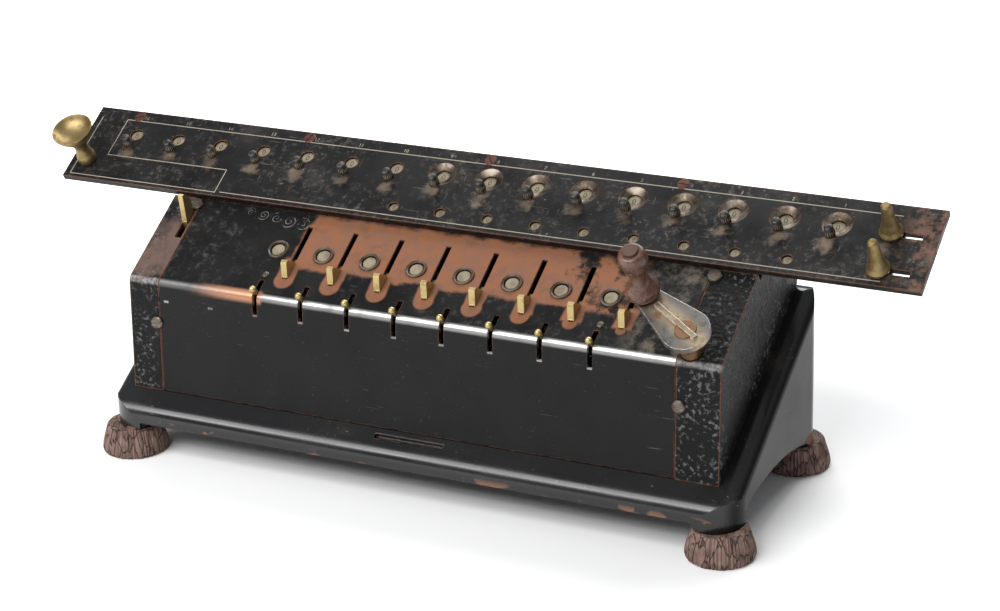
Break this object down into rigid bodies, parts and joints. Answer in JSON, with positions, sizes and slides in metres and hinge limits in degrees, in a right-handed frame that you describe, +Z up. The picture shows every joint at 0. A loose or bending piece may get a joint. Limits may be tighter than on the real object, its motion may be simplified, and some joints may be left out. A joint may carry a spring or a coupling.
{
  "type": "mechanical calculator",
  "caption": "Stepped-drum calculating machine: sloping slotted plate with brass setting levers, side crank and a long sliding, tilting dial carriage on a black cast base.",
  "frame": {"origin": "on the table, under the middle of the machine's overall box with the carriage as in the picture", "axes": "+X to the operator's right along the carriage, +Y away from the operator, +Z up"},
  "size_m": [0.5074, 0.1512, 0.1713],
  "materials": {
    "base_enamel": "gloss black enamel, chipped",
    "foot_rubber": "cracked brown rubber",
    "crackle_paint": "black crackle paint",
    "plate_lacquer": "black lacquer worn to copper-brown",
    "carriage_lacquer": "satin black lacquer, dusty",
    "screw_steel": "tarnished",
    "frame_steel": "bare",
    "shaft_steel": "ground",
    "crank_steel": "stained nickel",
    "handle_wood": "turned and varnished",
    "lever_brass": "aged brass",
    "drum_brass": "machined brass",
    "dial_white": "aged cream"
  },
  "bodies": {
    "frame": {"base_casting": "base_enamel", "rubber_feet": "foot_rubber", "housing": "crackle_paint", "setting_plate": "plate_lacquer", "cover_screws": "screw_steel", "mechanism_frame": "frame_steel", "counting_shafts": "shaft_steel", "check_rollers": "dial_white", "carriage_rod": "shaft_steel"},
    "drive": {"drive_shaft": "shaft_steel"},
    "crank": {"crank_shaft": "crank_steel", "crank_arm": "crank_steel"},
    "handle": {"crank_handle": "handle_wood"},
    "reverse": {"reversing_lever": "lever_brass"},
    "bushes": {"carriage_bushes": "lever_brass"},
    "carriage": {"carriage_plate": "carriage_lacquer", "carriage_knob": "lever_brass", "counter_dials": "dial_white"},
    "clear_result": {"clear_slide_result": "lever_brass"},
    "clear_counter": {"clear_slide_counter": "lever_brass"},
    "drum_1": {"stepped_drum_1": "drum_brass"},
    "lever_1": {"setting_lever_1": "lever_brass"},
    "marker_1": {"marker_lever_1": "lever_brass"},
    "drum_2": {"stepped_drum_2": "drum_brass"},
    "lever_2": {"setting_lever_2": "lever_brass"},
    "marker_2": {"marker_lever_2": "lever_brass"},
    "drum_3": {"stepped_drum_3": "drum_brass"},
    "lever_3": {"setting_lever_3": "lever_brass"},
    "marker_3": {"marker_lever_3": "lever_brass"},
    "drum_4": {"stepped_drum_4": "drum_brass"},
    "lever_4": {"setting_lever_4": "lever_brass"},
    "marker_4": {"marker_lever_4": "lever_brass"},
    "drum_5": {"stepped_drum_5": "drum_brass"},
    "lever_5": {"setting_lever_5": "lever_brass"},
    "marker_5": {"marker_lever_5": "lever_brass"},
    "drum_6": {"stepped_drum_6": "drum_brass"},
    "lever_6": {"setting_lever_6": "lever_brass"},
    "marker_6": {"marker_lever_6": "lever_brass"},
    "drum_7": {"stepped_drum_7": "drum_brass"},
    "lever_7": {"setting_lever_7": "lever_brass"},
    "marker_7": {"marker_lever_7": "lever_brass"},
    "drum_8": {"stepped_drum_8": "drum_brass"},
    "lever_8": {"setting_lever_8": "lever_brass"},
    "marker_8": {"marker_lever_8": "lever_brass"},
    "dial_1": {"result_dial_1": "dial_white"},
    "dial_2": {"result_dial_2": "dial_white"},
    "dial_3": {"result_dial_3": "dial_white"},
    "dial_4": {"result_dial_4": "dial_white"},
    "dial_5": {"result_dial_5": "dial_white"},
    "dial_6": {"result_dial_6": "dial_white"},
    "dial_7": {"result_dial_7": "dial_white"},
    "dial_8": {"result_dial_8": "dial_white"},
    "dial_9": {"result_dial_9": "dial_white"},
    "dial_10": {"result_dial_10": "dial_white"},
    "dial_11": {"result_dial_11": "dial_white"},
    "dial_12": {"result_dial_12": "dial_white"},
    "dial_13": {"result_dial_13": "dial_white"},
    "dial_14": {"result_dial_14": "dial_white"},
    "dial_15": {"result_dial_15": "dial_white"},
    "dial_16": {"result_dial_16": "dial_white"}
  },
  "joints": [
    {"name": "crank_turn", "type": "hinge", "parent": "frame", "child": "crank", "pos_m": [0.1495, -0.04503, 0.10383], "axis": [0, -0.5045, 0.8634], "continuous": true},
    {"name": "handle_spin", "type": "hinge", "parent": "crank", "child": "handle", "pos_m": [0.12125, -0.0368, 0.12543], "axis": [0, -0.5045, 0.8634], "continuous": true},
    {"name": "drive_turn", "type": "hinge", "parent": "frame", "child": "drive", "pos_m": [0, -0.02939, 0.07707], "axis": [1, 0, 0], "continuous": true},
    {"name": "drum_1_turn", "type": "hinge", "parent": "frame", "child": "drum_1", "pos_m": [-0.0873, -0.02939, 0.07707], "axis": [0, 0.8634, 0.5045], "continuous": true},
    {"name": "lever_1_slide", "type": "slide", "parent": "frame", "child": "lever_1", "axis": [0, 0.8634, 0.5045], "range_m": [0, 0.027]},
    {"name": "marker_1_swing", "type": "hinge", "parent": "frame", "child": "marker_1", "pos_m": [-0.0996, -0.03929, 0.09282], "axis": [1, 0, 0], "range_deg": [-22, 47]},
    {"name": "drum_2_turn", "type": "hinge", "parent": "frame", "child": "drum_2", "pos_m": [-0.0593, -0.02939, 0.07707], "axis": [0, 0.8634, 0.5045], "continuous": true},
    {"name": "lever_2_slide", "type": "slide", "parent": "frame", "child": "lever_2", "axis": [0, 0.8634, 0.5045], "range_m": [0, 0.027]},
    {"name": "marker_2_swing", "type": "hinge", "parent": "frame", "child": "marker_2", "pos_m": [-0.0716, -0.03929, 0.09282], "axis": [1, 0, 0], "range_deg": [-22, 47]},
    {"name": "drum_3_turn", "type": "hinge", "parent": "frame", "child": "drum_3", "pos_m": [-0.0313, -0.02939, 0.07707], "axis": [0, 0.8634, 0.5045], "continuous": true},
    {"name": "lever_3_slide", "type": "slide", "parent": "frame", "child": "lever_3", "axis": [0, 0.8634, 0.5045], "range_m": [0, 0.027]},
    {"name": "marker_3_swing", "type": "hinge", "parent": "frame", "child": "marker_3", "pos_m": [-0.0436, -0.03929, 0.09282], "axis": [1, 0, 0], "range_deg": [-22, 47]},
    {"name": "drum_4_turn", "type": "hinge", "parent": "frame", "child": "drum_4", "pos_m": [-0.0033, -0.02939, 0.07707], "axis": [0, 0.8634, 0.5045], "continuous": true},
    {"name": "lever_4_slide", "type": "slide", "parent": "frame", "child": "lever_4", "axis": [0, 0.8634, 0.5045], "range_m": [0, 0.027]},
    {"name": "marker_4_swing", "type": "hinge", "parent": "frame", "child": "marker_4", "pos_m": [-0.0156, -0.03929, 0.09282], "axis": [1, 0, 0], "range_deg": [-22, 47]},
    {"name": "drum_5_turn", "type": "hinge", "parent": "frame", "child": "drum_5", "pos_m": [0.0247, -0.02939, 0.07707], "axis": [0, 0.8634, 0.5045], "continuous": true},
    {"name": "lever_5_slide", "type": "slide", "parent": "frame", "child": "lever_5", "axis": [0, 0.8634, 0.5045], "range_m": [0, 0.027]},
    {"name": "marker_5_swing", "type": "hinge", "parent": "frame", "child": "marker_5", "pos_m": [0.0124, -0.03929, 0.09282], "axis": [1, 0, 0], "range_deg": [-22, 47]},
    {"name": "drum_6_turn", "type": "hinge", "parent": "frame", "child": "drum_6", "pos_m": [0.0527, -0.02939, 0.07707], "axis": [0, 0.8634, 0.5045], "continuous": true},
    {"name": "lever_6_slide", "type": "slide", "parent": "frame", "child": "lever_6", "axis": [0, 0.8634, 0.5045], "range_m": [0, 0.027]},
    {"name": "marker_6_swing", "type": "hinge", "parent": "frame", "child": "marker_6", "pos_m": [0.0404, -0.03929, 0.09282], "axis": [1, 0, 0], "range_deg": [-22, 47]},
    {"name": "drum_7_turn", "type": "hinge", "parent": "frame", "child": "drum_7", "pos_m": [0.0807, -0.02939, 0.07707], "axis": [0, 0.8634, 0.5045], "continuous": true},
    {"name": "lever_7_slide", "type": "slide", "parent": "frame", "child": "lever_7", "axis": [0, 0.8634, 0.5045], "range_m": [0, 0.027]},
    {"name": "marker_7_swing", "type": "hinge", "parent": "frame", "child": "marker_7", "pos_m": [0.0684, -0.03929, 0.09282], "axis": [1, 0, 0], "range_deg": [-22, 47]},
    {"name": "drum_8_turn", "type": "hinge", "parent": "frame", "child": "drum_8", "pos_m": [0.1087, -0.02939, 0.07707], "axis": [0, 0.8634, 0.5045], "continuous": true},
    {"name": "lever_8_slide", "type": "slide", "parent": "frame", "child": "lever_8", "axis": [0, 0.8634, 0.5045], "range_m": [0, 0.027]},
    {"name": "marker_8_swing", "type": "hinge", "parent": "frame", "child": "marker_8", "pos_m": [0.0964, -0.03929, 0.09282], "axis": [1, 0, 0], "range_deg": [-22, 47]},
    {"name": "reverse_tilt", "type": "hinge", "parent": "frame", "child": "reverse", "pos_m": [-0.1631, -0.00618, 0.10336], "axis": [1, 0, 0], "range_deg": [0, 26]},
    {"name": "carriage_slide", "type": "slide", "parent": "frame", "child": "bushes", "axis": [1, 0, 0], "range_m": [-0.084, 0.14]},
    {"name": "carriage_lift", "type": "hinge", "parent": "bushes", "child": "carriage", "pos_m": [0, 0.04604, 0.14778], "axis": [1, 0, 0], "range_deg": [-28, 0]},
    {"name": "dial_1_turn", "type": "hinge", "parent": "carriage", "child": "dial_1", "pos_m": [-0.2225, 0.02491, 0.1447], "axis": [0, -0.5045, 0.8634], "continuous": true},
    {"name": "dial_2_turn", "type": "hinge", "parent": "carriage", "child": "dial_2", "pos_m": [-0.1945, 0.02491, 0.1447], "axis": [0, -0.5045, 0.8634], "continuous": true},
    {"name": "dial_3_turn", "type": "hinge", "parent": "carriage", "child": "dial_3", "pos_m": [-0.1665, 0.02491, 0.1447], "axis": [0, -0.5045, 0.8634], "continuous": true},
    {"name": "dial_4_turn", "type": "hinge", "parent": "carriage", "child": "dial_4", "pos_m": [-0.1385, 0.02491, 0.1447], "axis": [0, -0.5045, 0.8634], "continuous": true},
    {"name": "dial_5_turn", "type": "hinge", "parent": "carriage", "child": "dial_5", "pos_m": [-0.1105, 0.02491, 0.1447], "axis": [0, -0.5045, 0.8634], "continuous": true},
    {"name": "dial_6_turn", "type": "hinge", "parent": "carriage", "child": "dial_6", "pos_m": [-0.0825, 0.02491, 0.1447], "axis": [0, -0.5045, 0.8634], "continuous": true},
    {"name": "dial_7_turn", "type": "hinge", "parent": "carriage", "child": "dial_7", "pos_m": [-0.0545, 0.02491, 0.1447], "axis": [0, -0.5045, 0.8634], "continuous": true},
    {"name": "dial_8_turn", "type": "hinge", "parent": "carriage", "child": "dial_8", "pos_m": [-0.0265, 0.02491, 0.1447], "axis": [0, -0.5045, 0.8634], "continuous": true},
    {"name": "dial_9_turn", "type": "hinge", "parent": "carriage", "child": "dial_9", "pos_m": [0.0015, 0.02491, 0.1447], "axis": [0, -0.5045, 0.8634], "continuous": true},
    {"name": "dial_10_turn", "type": "hinge", "parent": "carriage", "child": "dial_10", "pos_m": [0.0295, 0.02491, 0.1447], "axis": [0, -0.5045, 0.8634], "continuous": true},
    {"name": "dial_11_turn", "type": "hinge", "parent": "carriage", "child": "dial_11", "pos_m": [0.0575, 0.02491, 0.1447], "axis": [0, -0.5045, 0.8634], "continuous": true},
    {"name": "dial_12_turn", "type": "hinge", "parent": "carriage", "child": "dial_12", "pos_m": [0.0855, 0.02491, 0.1447], "axis": [0, -0.5045, 0.8634], "continuous": true},
    {"name": "dial_13_turn", "type": "hinge", "parent": "carriage", "child": "dial_13", "pos_m": [0.1135, 0.02491, 0.1447], "axis": [0, -0.5045, 0.8634], "continuous": true},
    {"name": "dial_14_turn", "type": "hinge", "parent": "carriage", "child": "dial_14", "pos_m": [0.1415, 0.02491, 0.1447], "axis": [0, -0.5045, 0.8634], "continuous": true},
    {"name": "dial_15_turn", "type": "hinge", "parent": "carriage", "child": "dial_15", "pos_m": [0.1695, 0.02491, 0.1447], "axis": [0, -0.5045, 0.8634], "continuous": true},
    {"name": "dial_16_turn", "type": "hinge", "parent": "carriage", "child": "dial_16", "pos_m": [0.1975, 0.02491, 0.1447], "axis": [0, -0.5045, 0.8634], "continuous": true},
    {"name": "clear_result_slide", "type": "slide", "parent": "carriage", "child": "clear_result", "axis": [1, 0, 0], "range_m": [0, 0.014]},
    {"name": "clear_counter_slide", "type": "slide", "parent": "carriage", "child": "clear_counter", "axis": [1, 0, 0], "range_m": [0, 0.014]}
  ],
  "couplings": [
    {"joint": "drive_turn", "follows": "crank_turn", "ratio": 1},
    {"joint": "drum_1_turn", "follows": "crank_turn", "ratio": -1},
    {"joint": "drum_2_turn", "follows": "crank_turn", "ratio": -1},
    {"joint": "drum_3_turn", "follows": "crank_turn", "ratio": -1},
    {"joint": "drum_4_turn", "follows": "crank_turn", "ratio": -1},
    {"joint": "drum_5_turn", "follows": "crank_turn", "ratio": -1},
    {"joint": "drum_6_turn", "follows": "crank_turn", "ratio": -1},
    {"joint": "drum_7_turn", "follows": "crank_turn", "ratio": -1},
    {"joint": "drum_8_turn", "follows": "crank_turn", "ratio": -1}
  ]
}
